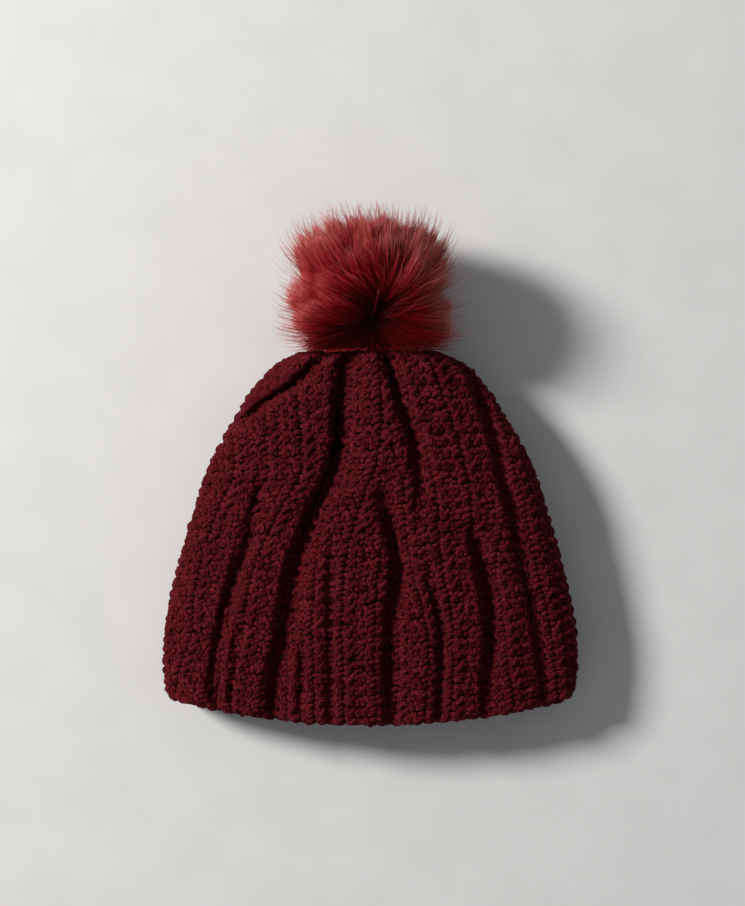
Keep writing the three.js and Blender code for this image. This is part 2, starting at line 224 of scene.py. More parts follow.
class Layer:
    """One grid of the hat's surface, its inner face, and the arc length across each level."""

    def __init__(self, angles):
        self.angles = angles
        self.outer, self.normal = surface(angles)
        self.inner, self.inner_normal = surface(angles, inset=WALL, **INSIDE_FOLDS)
        steps = np.linalg.norm(np.diff(self.outer[CAP_LEVELS:], axis=1), axis=-1)
        self.arc = np.concatenate([np.zeros((LEVELS, 1)), np.cumsum(steps, axis=1)], axis=1)

    def arc_at(self, table):
        """Arc length where a line of x against y crosses each level."""
        ys = level_ys()
        half = along(TUBE, ys, 1)
        angle = np.arccos(np.clip(-along(table, ys, 1) / half, -1, 1))
        return np.array([np.interp(a, self.angles, row) for a, row in zip(angle, self.arc)])

    def column(self, arcs):
        """Grid columns, as fractions, of the given arc length on each level, crown levels included."""
        index = np.arange(len(self.angles))
        at = np.array([np.interp(s, row, index) for s, row in zip(arcs, self.arc)])
        return np.concatenate([np.full(CAP_LEVELS, at[0]), at])

    def pick(self, grid, at):
        low = np.clip(np.floor(at).astype(int), 0, grid.shape[1] - 2)
        part = (at - low)[:, None]
        rows = np.arange(len(at))
        return grid[rows, low] * (1 - part) + grid[rows, low + 1] * part


upper = Layer(upper_angles)
under = Layer(under_angles)


def row_widths():
    return np.interp(level_ys(), [-60, 20], [ROW_WIDTH, CROWN_ROW_WIDTH])


def rows_between(anchor, first, last, low, high):
    """Arc lengths of the rows first..last counted from an anchor line, and where each one is in view."""
    widths = row_widths()
    found = []
    for k in range(first, last):
        arcs = anchor + (k + 0.5) * widths
        inside = (arcs > low - ROW_LAP * widths) & (arcs < high + ROW_LAP * widths)
        if inside.sum() > 4:
            found.append((k, arcs, inside))
    return found


def all_rows():
    """Every row of crochet as (group, parity, layer, arcs, inside)."""
    ys = level_ys()
    shoulder = upper.arc_at(FOLD_SHOULDER)
    left = upper.arc_at(FOLD_LEFT)
    split_blend = smooth_step(SPLIT_LOW, SPLIT_HIGH, ys)
    split = upper.arc_at(FOLD_CENTRE) * (1 - split_blend) + upper.arc_at(FOLD_TOP) * split_blend
    right_rows = upper.arc_at(RIGHT_ROWS)
    middle_rows = upper.arc_at(MIDDLE_ROWS)
    at_split = np.argmin(np.abs(ys - (SPLIT_LOW + SPLIT_HIGH) / 2))
    between = (right_rows - middle_rows)[at_split]
    width = row_widths()[at_split]
    middle_rows = middle_rows + between - 4 * width
    long_fold = upper.arc_at(FOLD_LONG)
    start = np.zeros(LEVELS)
    end = upper.arc[:, -1]
    has_shoulder = ys > SHOULDER_END
    left_start = np.where(has_shoulder, shoulder, start)
    groups = [
        ("shoulder", upper, shoulder, -12, 0, start, np.where(has_shoulder, shoulder, -99)),
        ("left", upper, left, -16, 0, left_start, left),
        ("middle", upper, middle_rows, -9, 9, left, split),
        ("right", upper, right_rows, -9, 10, split, long_fold),
        ("edge", upper, long_fold, 0, 14, long_fold, end),
    ]
    middle = under.arc[:, -1] / 2
    low = np.array([np.interp(math.pi + TUCK, under_angles, row) for row in under.arc])
    groups.append(("under", under, middle, -16, 16, low, 2 * middle - low))
    rows = []
    for name, layer, anchor, first, last, low, high in groups:
        for k, arcs, inside in rows_between(anchor, first, last, low, high):
            rows.append((name, k % 2, layer, arcs, inside))
    return rows


# ---- stitches ----

YARN_RADIUS = 1.38
STRAND_POINTS = 15
# A stitch shows four strands of its yarn. Each point: across the row, along it and out, in millimetres.
STRANDS = [
    np.array([
        [-5.0, -1.3, -3.4], [-4.1, -1.9, -0.9], [-2.7, -2.1, 0.6], [-1.3, -1.5, 0.2], [-0.2, -1.0, -1.0],
        [1.2, -1.0, 0.3], [2.8, -1.5, 0.8], [4.0, -1.2, -0.6], [4.7, -0.7, -3.2],
    ]),
    np.array([
        [-5.0, 1.4, -3.4], [-4.0, 1.0, -0.6], [-2.6, 0.9, 0.7], [-1.0, 1.5, 0.7], [0.4, 2.1, -0.2],
        [1.3, 1.9, -1.1], [2.6, 1.2, 0.2], [3.8, 1.2, -0.1], [4.8, 1.6, -3.2],
    ]),
    np.array([
        [3.4, -3.4, -3.0], [4.0, -2.6, -1.3], [4.5, -1.3, -0.3], [4.8, 0.2, -0.1], [4.7, 1.6, -0.5],
        [4.3, 2.7, -1.4], [3.9, 3.4, -2.6], [3.6, 3.7, -3.4],
    ]),
    np.array([
        [-3.4, 3.3, -3.2], [-2.8, 2.9, -1.0], [-1.7, 1.2, 0.6], [-0.3, -0.4, 1.1], [1.0, -2.0, 0.4],
        [1.9, -3.0, -0.9], [2.4, -3.4, -2.2], [2.7, -3.6, -3.4],
    ]),
]
STITCH_SLANT = 0.16
SUNK = 0.4              # the strands' outer side lies this far below the hat's surface


def smooth_line(points, count):
    """The same line through more points, evenly spaced along it."""
    t = np.linspace(0, len(points) - 1, 400)
    i = np.clip(t.astype(int), 0, len(points) - 2)
    f = (t - i)[:, None]
    before, after = points[np.maximum(i - 1, 0)], points[np.minimum(i + 2, len(points) - 1)]
    a, b = points[i], points[i + 1]
    fine = 0.5 * (2 * a + (b - before) * f + (2 * before - 5 * a + 4 * b - after) * f ** 2
                  + (3 * a - before - 3 * b + after) * f ** 3)
    length = np.concatenate([[0], np.cumsum(np.linalg.norm(np.diff(fine, axis=0), axis=1))])
    at = np.linspace(0, length[-1], count)
    return np.stack([np.interp(at, length, fine[:, k]) for k in range(3)], -1)


strands = np.stack([smooth_line(points, STRAND_POINTS) for points in STRANDS])


OFFSETS = np.array([-0.56, -0.28, 0.0, 0.28, 0.56])     # lines along a row, in shares of its width
RIM_POINTS = 7          # points of a line round the hem
INNER_END = 60          # the inner face is worked in stitches from the hem up to this level


def row_line(layer, arcs, start, end):
    """Points and normals of one line along a row, over the hem and up inside where it reaches it."""
    at = layer.column(arcs)
    outer = layer.pick(layer.outer, at)
    normal = unit(layer.pick(layer.normal, at))
    points, normals = outer[start:end], normal[start:end]
    if end == len(at):
        inner = layer.pick(layer.inner, at)
        inward = -unit(layer.pick(layer.inner_normal, at))
        middle, half = (outer[-1] + inner[-1]) / 2, (outer[-1] - inner[-1]) / 2
        forward = unit(outer[-1] - outer[-3])
        turn = np.linspace(0, math.pi, RIM_POINTS + 2)[1:-1, None]
        rim = middle + half * np.cos(turn) + forward * WALL / 2 * np.sin(turn)
        rim_normal = unit(unit(half) * np.cos(turn) + forward * np.sin(turn))
        back = slice(len(at) - 1, max(start, INNER_END) - 1, -1)
        points = np.concatenate([points, rim, inner[back]])
        normals = np.concatenate([normals, rim_normal, inward[back]])
    return points, normals


def row_path(layer, arcs, inside):
    """Runs of a row, each as points and normals of the lines along it and the row's width."""
    seen = np.concatenate([np.full(CAP_LEVELS, inside[0]), inside])
    closing = np.concatenate([np.linspace(0.45, 1, CAP_LEVELS, endpoint=False), np.ones(LEVELS)])
    width = np.concatenate([np.full(CAP_LEVELS, row_widths()[0]), row_widths()]) * closing
    changes = np.flatnonzero(np.diff(np.concatenate([[0], seen.astype(int), [0]])))
    made = []
    for start, end in changes.reshape(-1, 2):
        if end - start < SHORTEST_RUN:
            continue
        lines = [row_line(layer, arcs + share * row_widths(), start, end) for share in OFFSETS]
        widths = width[start:end]
        if end == len(seen):
            back = slice(len(seen) - 1, max(start, INNER_END) - 1, -1)
            widths = np.concatenate([widths, np.full(RIM_POINTS, widths[-1]), width[back]])
        points, normals = (np.array([line[k] for line in lines]) for k in range(2))
        made.append((points, normals, widths))
    return made


def place_stitches(points, normals, widths, parity):
    """Strands of the stitches along one run: points, and at each a normal and the yarn's relative size."""
    middle = points[len(OFFSETS) // 2]
    length = np.concatenate([[0], np.cumsum(np.linalg.norm(np.diff(middle, axis=0), axis=1))])
    pitch = np.interp(middle[:, 1], [-60, 10], [STITCH, CROWN_STITCH])
    count_at = np.concatenate([[0], np.cumsum(np.diff(length) / ((pitch[1:] + pitch[:-1]) / 2))])
    count = max(1, round(count_at[-1]))
    count_at *= count / count_at[-1]
    centre = np.interp(np.arange(count) + 0.5, count_at, length)
    local_pitch = np.interp(centre, length, pitch)
    mirror = 1 if parity else -1
    each = (count, len(strands), 1)
    size = 1 + rng.normal(0, 0.06, (count, 1, 1))
    tilt = STITCH_SLANT + rng.normal(0, 0.1, (count, 1, 1))
    across = strands[None, :, :, 0] * (1 + rng.normal(0, 0.05, each))
    up = (strands[None, :, :, 1] * size + tilt * across) * (local_pitch / STITCH)[:, None, None]
    across = across * mirror + rng.normal(0, 0.3, (count, 1, 1)) + rng.normal(0, 0.2, each)
    lift = strands[None, :, :, 2] * (1 + rng.normal(0, 0.1, each)) + rng.normal(0, 0.35, each)
    up = up + rng.normal(0, 0.3, (count, 1, 1)) + rng.normal(0, 0.2, each)
    wanted = (centre[:, None, None] + up).ravel()
    flat = np.clip(wanted, 0, length[-1])
    line_at = (across.ravel() / ROW_WIDTH - OFFSETS[0]) / (OFFSETS[1] - OFFSETS[0])
    line_at = np.clip(line_at, -0.3, len(OFFSETS) - 0.7)
    low = np.clip(np.floor(line_at).astype(int), 0, len(OFFSETS) - 2)
    part = (line_at - low)[:, None]

    def at_lines(values):
        """The values at each point's place along the row and across it."""
        every = np.array([[np.interp(flat, length, line[:, k]) for k in range(3)] for line in values])
        index = np.arange(len(flat))
        return every[low, :, index] * (1 - part) + every[low + 1, :, index] * part

    where = at_lines(points)
    out = unit(at_lines(normals))
    travel = np.gradient(middle, length, axis=0)
    ahead = unit(np.stack([np.interp(flat, length, travel[:, k]) for k in range(3)], -1))
    share = np.interp(flat, length, widths) / ROW_WIDTH
    where += ahead * (wanted - flat)[:, None]
    where += out * (lift.ravel() * np.minimum(1, share) - YARN_RADIUS - SUNK)[:, None]
    where[:, 2] = np.maximum(where[:, 2], YARN_RADIUS)
    shape = (count * len(strands), STRAND_POINTS, 3)
    return where.reshape(shape), out.reshape(shape), share.reshape(shape[:2])


# ---- meshes ----


def sweep(lines, ups, radius, sides):
    """Tubes along many lines at once: vertices, quads, caps and, for each corner, its place on the yarn."""
    count, points, _ = lines.shape
    ahead = unit(np.gradient(lines, axis=1))
    side = unit(np.cross(ahead, ups))
    up = np.cross(side, ahead)
    turn = 2 * math.pi * np.arange(sides) / sides
    radius = np.broadcast_to(np.asarray(radius, float), (count, points))[..., None, None]
    ring = np.cos(turn)[:, None] * side[:, :, None] + np.sin(turn)[:, None] * up[:, :, None]
    verts = (lines[:, :, None] + radius * ring).reshape(-1, 3)
    base = (np.arange(count)[:, None, None] * points + np.arange(points - 1)[None, :, None]) * sides
    j = np.arange(sides)
    k = (j + 1) % sides
    quads = np.stack([base + j, base + k, base + sides + k, base + sides + j], -1).reshape(-1, 4)
    first = np.arange(count)[:, None] * points * sides
    caps = np.concatenate([first + j[::-1], first + (points - 1) * sides + j])
    steps = np.linalg.norm(np.diff(lines, axis=1), axis=-1)
    length = np.concatenate([np.zeros((count, 1)), np.cumsum(steps, axis=1)], axis=1)
    near = np.broadcast_to(length[:, :-1, None], (count, points - 1, sides))
    far = np.broadcast_to(length[:, 1:, None], (count, points - 1, sides))
    low = np.broadcast_to(j / sides, near.shape)
    high = np.broadcast_to((j + 1) / sides, near.shape)
    place = np.stack([
        np.stack([near, low], -1), np.stack([near, high], -1),
        np.stack([far, high], -1), np.stack([far, low], -1),
    ], -2).reshape(-1, 2)
    cap_place = np.zeros((caps.size, 2))
    return verts, quads, caps, np.concatenate([place, cap_place])


def build(name, verts, faces, material, places=None, tones=None):
    """A mesh object in metres. faces is a list of index arrays, one row to a face."""
    mesh = bpy.data.meshes.new(name)
    corners = np.concatenate([f.ravel() for f in faces]).astype(np.int32)
    sizes = np.concatenate([np.full(len(f), f.shape[1]) for f in faces]).astype(np.int32)
    starts = np.concatenate([[0], np.cumsum(sizes)[:-1]]).astype(np.int32)
    mesh.vertices.add(len(verts))
    mesh.vertices.foreach_set("co", (np.asarray(verts) * MM).astype(np.float32).ravel())
    mesh.loops.add(len(corners))
    mesh.loops.foreach_set("vertex_index", corners)
    mesh.polygons.add(len(sizes))
    mesh.polygons.foreach_set("loop_start", starts)
    mesh.polygons.foreach_set("use_smooth", np.ones(len(sizes), bool))
    mesh.update(calc_edges=True)
    if places is not None:
        layer = mesh.uv_layers.new(name="place")
        layer.data.foreach_set("uv", places.astype(np.float32).ravel())
    if tones is not None:
        tone = mesh.attributes.new("tone", "FLOAT", "POINT")
        tone.data.foreach_set("value", tones.astype(np.float32))
    piece = bpy.data.objects.new(name, mesh)
    bpy.context.scene.collection.objects.link(piece)
    mesh.materials.append(material)
    return piece


def stand_for(piece, body, node):
    """The piece moves with a body and takes the place of a CAD node, which is hidden."""
    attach(piece, body)
    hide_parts(node)


def grid_faces(rows, columns):
    """Quads of a grid of points that closes across each row."""
    i = np.arange(rows - 1)[:, None]
    j = np.arange(columns)[None, :]
    k = (j + 1) % columns
    corners = [i * columns + j, i * columns + k, (i + 1) * columns + k, (i + 1) * columns + j]
    return np.stack(corners, -1).reshape(-1, 4)


# ---- materials ----


class Nodes:
    """A small helper for writing node materials."""

    def __init__(self, name):
        self.material = bpy.data.materials.new(name)
        self.material.use_nodes = True
        self.tree = self.material.node_tree
        self.shader = self.tree.nodes["Principled BSDF"]

    def add(self, kind, **values):
        node = self.tree.nodes.new(kind)
        for key, value in values.items():
            setattr(node, key, value)
        return node

    def link(self, source, target):
        self.tree.links.new(source, target)

    def math(self, operation, a, b=0.0):
        node = self.add("ShaderNodeMath", operation=operation)
        for socket, value in zip(node.inputs, (a, b)):
            if hasattr(value, "is_linked"):
                self.link(value, socket)
            else:
                socket.default_value = value
        return node.outputs[0]

    def ramp(self, fac, stops):
        node = self.add("ShaderNodeValToRGB")
        while len(node.color_ramp.elements) < len(stops):
            node.color_ramp.elements.new(0.5)
        for element, (position, colour) in zip(node.color_ramp.elements, stops):
            element.position = position
            element.color = (*colour, 1)
        self.link(fac, node.inputs[0])
        return node.outputs[0]

    def noise(self, scale, detail=2.0):
        where = self.add("ShaderNodeTexCoord")
        node = self.add("ShaderNodeTexNoise")
        node.inputs["Scale"].default_value = scale
        node.inputs["Detail"].default_value = detail
        self.link(where.outputs["Object"], node.inputs["Vector"])
        return node.outputs["Fac"]

    def bump(self, height, strength, distance):
        node = self.add("ShaderNodeBump")
        node.inputs["Strength"].default_value = strength
        node.inputs["Distance"].default_value = distance
        self.link(height, node.inputs["Height"])
        self.link(node.outputs[0], self.shader.inputs["Normal"])

    def finish(self, colour, **values):
        self.link(colour, self.shader.inputs["Base Color"])
        for key, value in values.items():
            self.shader.inputs[key.replace("_", " ")].default_value = value
        return self.material


def yarn_material(name, dark, mid, light, plies=3, twist=5.2):
    """Spun yarn: plies that wind round it, loose fibre along them, and a tone for each strand. The grooves
    between the plies are darker, as painted shade.
    """
    nodes = Nodes(name)
    place = nodes.add("ShaderNodeUVMap", uv_map="place")
    parts = nodes.add("ShaderNodeSeparateXYZ")
    nodes.link(place.outputs[0], parts.inputs[0])
    turns = nodes.math("MULTIPLY", parts.outputs[0], 1 / twist)
    patch = nodes.noise(160, 2)
    wander = nodes.math("MULTIPLY", patch, 0.5)
    winding = nodes.math("ADD", nodes.math("ADD", turns, parts.outputs[1]), wander)
    wave = nodes.math("SINE", nodes.math("MULTIPLY", winding, 2 * math.pi * plies))
    ply_bump_and_shade = nodes.math("ADD", nodes.math("MULTIPLY", wave, 0.5), 0.5)
    streak_at = nodes.add("ShaderNodeCombineXYZ")
    nodes.link(nodes.math("MULTIPLY", parts.outputs[0], 0.45), streak_at.inputs[0])
    nodes.link(nodes.math("MULTIPLY", winding, 16), streak_at.inputs[1])
    tone = nodes.add("ShaderNodeAttribute", attribute_name="tone").outputs["Fac"]
    nodes.link(nodes.math("MULTIPLY", tone, 60), streak_at.inputs[2])
    streak = nodes.add("ShaderNodeTexNoise")
    streak.inputs["Scale"].default_value = 1.0
    streak.inputs["Detail"].default_value = 2.0
    nodes.link(streak_at.outputs[0], streak.inputs["Vector"])
    fibre = nodes.noise(900, 4)
    # The ply wave darkens the grooves between the plies: painted shade.
    shade = nodes.math("MULTIPLY", ply_bump_and_shade, 0.12)
    for source, share in ((streak.outputs["Fac"], 0.42), (fibre, 0.34), (tone, 0.14), (patch, 0.14)):
        shade = nodes.math("ADD", shade, nodes.math("MULTIPLY", source, share))
    colour = nodes.ramp(shade, [(0.30, dark), (0.52, mid), (0.80, light)])
    height = nodes.math("ADD", nodes.math("MULTIPLY", ply_bump_and_shade, 0.45), nodes.math("MULTIPLY", fibre, 0.7))
    height = nodes.math("ADD", height, nodes.math("MULTIPLY", streak.outputs["Fac"], 0.6))
    nodes.bump(height, 0.9, 0.0008)
    return nodes.finish(
        colour, Roughness=0.95, Sheen_Weight=0.08, Sheen_Roughness=0.5, Specular_IOR_Level=0.06)


wool = yarn_material("wool_yarn", (0.014, 0.0003, 0.0008), (0.066, 0.0026, 0.0056), (0.165, 0.014, 0.022))
wool.node_tree.nodes["Principled BSDF"].inputs["Sheen Tint"].default_value = (1.0, 0.22, 0.26, 1)

# ---- the crocheted fabric ----


def bake_cells(count, points, sides, cap_corners):
    """A place in the 0..1 square for every corner of many equal tubes: one cell to a tube."""
    rows = max(1, int(math.sqrt(count * 3)))
    columns = math.ceil(count / rows)
    cell = np.arange(count)
    corner = np.stack([cell % columns / columns, cell // columns / rows], -1)
    i = np.arange(points - 1) / (points - 1)
    j = np.arange(sides) / sides
    step_i, step_j = 1 / (points - 1), 1 / sides
    near, low = np.meshgrid(i, j, indexing="ij")
    quads = np.stack([
        np.stack([near, low], -1), np.stack([near, low + step_j], -1),
        np.stack([near + step_i, low + step_j], -1), np.stack([near + step_i, low], -1),
    ], -2)
    size = np.array([0.92 / columns, 0.9 / rows])
    laid = corner[:, None, None, None] + size * quads[None]
    caps = np.repeat(corner, cap_corners // count // 2, axis=0)
    return np.concatenate([laid.reshape(-1, 2), caps, caps])


def add_bake_layer(piece, corners):
    layer = piece.data.uv_layers.new(name="OFBake")
    layer.data.foreach_set("uv", corners.astype(np.float32).ravel())


def yarn_piece(name, lines, ups, radius, material, body, node, sides=8):
    """Many strands of yarn as one piece that stands for a CAD node."""
    verts, quads, caps, places = sweep(lines, ups, radius, sides)
    count, points, _ = lines.shape
    tones = np.repeat(rng.random(count), points * sides)
    piece = build(name, verts, [quads, caps], material, places, tones)
    add_bake_layer(piece, bake_cells(count, points, sides, caps.size))
    stand_for(piece, body, node)


STRANDS_PER_PIECE = 1100
GROUND_COLUMNS = 420
GROUND_DEPTH = YARN_RADIUS * 1.7 + 0.4      # how far under the hat's surface the ground lies
GROUND_NARROWING = 0.07                     # the ground is narrower by this share where the cap starts


def crochet():
    """The hat's rows of stitches, in a few pieces for each group of rows."""
    groups = {}
    for name, parity, layer, arcs, inside in all_rows():
        for points, normals, widths in row_path(layer, arcs, inside):
            groups.setdefault(name, []).append(place_stitches(points, normals, widths, parity))
    for name, parts in groups.items():
        lines, ups, scale = (np.concatenate([part[k] for part in parts]) for k in range(3))
        pieces = math.ceil(len(lines) / STRANDS_PER_PIECE)
        radius = YARN_RADIUS * (0.35 + 0.65 * scale)
        for i, chosen in enumerate(np.array_split(np.arange(len(lines)), pieces)):
            yarn_piece(f"stitches_{name}_{i + 1}", lines[chosen], ups[chosen], radius[chosen], wool,
                       "hat", "crochet_body")


def ground():
    """The closed fabric under the loops, a plain wall in the loops' colour darkened as painted shade."""
    extra = 2       # columns past both ends, so that the normals are right where the grid closes
    angles = np.arange(-extra, GROUND_COLUMNS + extra) * 2 * math.pi / GROUND_COLUMNS
    outer, outer_normal = surface(angles)
    inner, inner_normal = surface(angles, inset=WALL, **INSIDE_FOLDS)
    outer = (outer - GROUND_DEPTH * outer_normal)[:, extra:-extra]
    narrowed = np.interp(np.arange(len(outer)), [0, CAP_LEVELS, CAP_LEVELS + 12], [0, 1, 0])
    outer[..., 0] *= (1 - GROUND_NARROWING * narrowed)[:, None]
    inner = (inner + GROUND_DEPTH * inner_normal)[:, extra:-extra]
    rim = (outer[-1] + inner[-1]) / 2 + np.array([0, -1.0, 0])
    grid = np.concatenate([outer, rim[None], inner[::-1]])
    faces = grid_faces(len(grid), GROUND_COLUMNS)
    piece = build("rib_ground", grid.reshape(-1, 3), [faces], ground_wool)
    stand_for(piece, "hat", "crochet_body")


# The ground's colour is painted shade: the wool made very dark, as if in shadow under the loops, varied at
# random.
ground_nodes = Nodes("wool_ground")
ground_nodes.bump(ground_nodes.noise(700, 3), 0.6, 0.0006)
ground_painted_shade = ground_nodes.ramp(
    ground_nodes.noise(600, 4), [(0.3, (0.005, 0.0003, 0.0007)), (0.7, (0.018, 0.0010, 0.0022))])
ground_wool = ground_nodes.finish(ground_painted_shade, Roughness=0.95, Specular_IOR_Level=0.1)

crochet()
ground()

# ---- yarn, elastic and button at the crown, and the seam ----

PIVOT = np.array([0.0, 71.5, 30.0])
ALONG_POMPOM = unit(np.array([0.0, 0.9336, 0.3584]))
ABOVE_POMPOM = unit(np.array([0.0, -0.3584, 0.9336]))
WALL_TOP = 8.6          # upper face of the layer that lies on the floor
DRAWSTRING_RING = 11.0
DRAWSTRING_Y = 69.0
DRAWSTRING_KNOT = -2.2  # angle of its knot round the crown opening
LEG = 3.5               # half the distance between the button's holes
LOOP_BACK = -25.55      # where the elastic crosses behind the button, along the pom-pom's axis
MOUTH_RING = 12.0
MOUTH_RING_H = 9.6
SEAM_X = 30
SEAM_TOP_Y = 44
SEAM_STEP = 4.6


def on_axis(points):
    """Points given across, along and above the pom-pom's axis, from its pivot."""
    points = np.asarray(points, float)
    return (PIVOT + points[..., :1] * np.array([1.0, 0, 0]) + points[..., 1:2] * ALONG_POMPOM
            + points[..., 2:] * ABOVE_POMPOM)


def one_strand(name, points, count, radius, material, body, node, up=(0, 0, 1), sides=12):
    lines = smooth_line(np.asarray(points, float), count)[None]
    ups = np.broadcast_to(np.asarray(up, float), lines.shape)
    yarn_piece(name, lines, ups, radius, material, body, node, sides)


def seam():
    """Whip stitches that close the tube, on the inside of the layer underneath."""
    stitch = np.array([
        [-4.6, -2.4, -1.2], [-3.6, -1.9, 0.6], [-1.2, -0.6, 1.9], [1.4, 0.9, 1.8], [3.6, 2.2, 0.5],
        [4.5, 2.7, -1.2],
    ])
    lines = []
    for y in np.arange(-131, SEAM_TOP_Y - 1, SEAM_STEP):
        x = SEAM_X * (1 - 0.3 * max(y, 0) / SEAM_TOP_Y) + rng.normal(0, 0.3)
        y = y + HEM_BOW * max(0, y / HEM_Y) * (x / HALF_WIDTH) ** 2
        lines.append(smooth_line(stitch + np.array([x, y, WALL_TOP]), 16))
    lines = np.array(lines)
    ups = np.broadcast_to(np.array([0.0, 0, 1]), lines.shape)
    yarn_piece("seam_stitches", lines, ups, 1.35, wool, "hat", "seam_yarn", 10)


def knot_points(centre, size, across, above):
    """A trefoil, the line of an overhand knot pulled tight."""
    t = np.linspace(0, 2 * math.pi, 40)
    along_knot = np.sin(t) + 2 * np.sin(2 * t)
    over_knot = np.cos(t) - 2 * np.cos(2 * t)
    through = -np.sin(3 * t)
    ahead = np.cross(across, above)
    return (centre + size / 3 * (along_knot[:, None] * across + over_knot[:, None] * above)
            + size * 0.42 * through[:, None] * ahead)


def drawstring():
    """The yarn round the crown opening, and the knot that ties it."""
    turn = np.linspace(0.12, 2 * math.pi - 0.12, 60) + DRAWSTRING_KNOT
    ring = DRAWSTRING_RING + 0.35 * np.cos(9 * turn)
    y = DRAWSTRING_Y + 0.5 * np.sin(9 * turn)
    points = np.stack([ring * np.cos(turn), y, CROWN_HOLE[2] + ring * np.sin(turn)], -1)
    one_strand("drawstring_ring", points, 220, 1.45, wool, "hat", "crown_drawstring", (0, 1, 0))
    across, up = (DRAWSTRING_RING * f(DRAWSTRING_KNOT) for f in (math.cos, math.sin))
    place = np.array([across, DRAWSTRING_Y - 0.4, CROWN_HOLE[2] + up])
    knot = knot_points(place, 2.3, np.array([1.0, 0, 0]), np.array([0, 0, 1.0]))
    one_strand("drawstring_knot", knot, 130, 1.05, wool, "hat", "crown_drawstring", (0, 1, 0))


def elastic():
    """The loop through the button, the two cords that leave the crown, and their knot."""
    half = [[1.6, -0.8, 0], [2.2, -7, 0], [LEG, -18, 0], [LEG, -23.5, 0], [LEG - 1.4, LOOP_BACK, 0]]
    loop_points = [[-x, y, z] for x, y, z in half] + half[::-1]
    one_strand("elastic_cord", on_axis(loop_points), 150, 1.25, braid, "toggle", "elastic_loop",
               ABOVE_POMPOM)
    knot = knot_points(on_axis([0, 11, 0]), 2.3, np.array([1.0, 0, 0]), ALONG_POMPOM)
    one_strand("elastic_overhand", knot, 150, 1.3, braid, "neck", "elastic_knot",
               ABOVE_POMPOM)
    neck = [[0.9, 0.2, 0.4], [1.3, 3, 0.3], [0.8, 6, 0], [0.4, 9, 0]]
    for name, side in (("left", -1), ("right", 1)):
        points = on_axis([[side * x, y, side * z] for x, y, z in neck])
        one_strand(f"elastic_neck_{name}", points, 30, 1.2, braid, "neck", "elastic_knot",
                   ABOVE_POMPOM)


def gather_thread():
    """The thread that draws the base cloth's mouth shut, in and out of its pleats."""
    turn = np.linspace(0.03, 2 * math.pi - 0.03, 90)
    ring = MOUTH_RING + 0.3 * np.cos(14 * turn)
    height = MOUTH_RING_H + 0.5 * np.sin(14 * turn)
    points = on_axis(np.stack([ring * np.cos(turn), height, ring * np.sin(turn)], -1))
    one_strand("gathering_stitches", points, 260, 0.55, thread, "pompom", "gather_thread",
               ALONG_POMPOM, 8)


BALL_CENTRE = 33.0
BACKING_RADIUS = 24.0
BACKING_MOUTH = 0.43    # angle of the mouth's edge, off the axis
CLOTH = 1.2             # thickness of the base cloth
FILLING_RADIUS = 21.8


def ball_grid(radius_at, first, last, rows, columns):
    """Points of a ball on the pom-pom's axis, from one angle off its mouth to another."""
    angle = np.linspace(first, last, rows)[:, None]
    turn = np.linspace(0, 2 * math.pi, columns, endpoint=False)[None, :]
    radius = radius_at(angle, turn)
    flat = radius * np.sin(angle)
    height = BALL_CENTRE - radius * np.cos(angle)
    return on_axis(np.stack([flat * np.cos(turn), height, flat * np.sin(turn)], -1))


def ball_piece(name, grid, material, node):
    """A closed mesh from a grid of points round the pom-pom's axis."""
    faces = grid_faces(*grid.shape[:2])
    piece = build(name, grid.reshape(-1, 3), [faces], material)
    stand_for(piece, "pompom", node)
    return piece


def backing():
    """The fur's base cloth, gathered into a ball."""

    def radius_at(angle, turn):
        near = np.exp(-((angle - BACKING_MOUTH) / 0.35) ** 2)
        pleats = 0.7 * near * np.cos(16 * turn)
        return BACKING_RADIUS - 0.3 + pleats + 0.25 * np.sin(5 * turn + 4 * angle)

    size = (BACKING_MOUTH, math.pi - 0.02, 70, 192)
    outside = ball_grid(radius_at, *size)
    inside = ball_grid(lambda angle, turn: radius_at(angle, turn) - CLOTH, *size)
    grid = np.concatenate([inside[::-1], outside])
    ball_piece("fur_base_cloth", grid, base_cloth, "pompom_backing")


def filling():
    """Loose fibre packed into the ball, with room for the knot at its mouth."""

    def radius_at(angle, turn):
        lumps = 0.35 * np.sin(7 * turn + 3 * angle) + 0.3 * np.sin(11 * angle - 4 * turn)
        lumps = lumps + 0.25 * np.sin(17 * turn)
        dent = 1 - smooth_step(0.25, 0.62, angle)
        return FILLING_RADIUS + lumps * np.sin(angle) - dent * 9.5

    grid = ball_grid(radius_at, 0.01, math.pi - 0.01, 90, 120)
    piece = ball_piece("fibre_ball", grid, stuffing, "pompom_filling")


def woven(name, dark, light, scale, roughness):
    """Cloth with threads that cross, darker between them as painted shade."""
    nodes = Nodes(name)
    where = nodes.add("ShaderNodeTexCoord")
    height = None
    for direction in ("X", "Z"):
        wave = nodes.add("ShaderNodeTexWave", wave_type="BANDS", bands_direction=direction)
        wave.inputs["Scale"].default_value = scale
        wave.inputs["Distortion"].default_value = 1.2
        wave.inputs["Detail"].default_value = 1.0
        nodes.link(where.outputs["Object"], wave.inputs["Vector"])
        bands = wave.outputs["Fac"]
        height = bands if height is None else nodes.math("MAXIMUM", height, bands)
    fluff = nodes.math("MULTIPLY", nodes.noise(300, 3), 0.4)
    # Darker between the threads: painted shade.
    shade = nodes.math("ADD", nodes.math("MULTIPLY", height, 0.6), fluff)
    nodes.bump(height, 0.7, 0.0006)
    return nodes.finish(nodes.ramp(shade, [(0.25, dark), (0.8, light)]), Roughness=roughness)


def fibrous(name, dark, light):
    """Loose fibre."""
    nodes = Nodes(name)
    strands_at = nodes.noise(420, 6)
    nodes.bump(strands_at, 0.9, 0.0015)
    colour = nodes.ramp(strands_at, [(0.3, dark), (0.7, light)])
    return nodes.finish(colour, Roughness=0.9, Sheen_Weight=0.3)


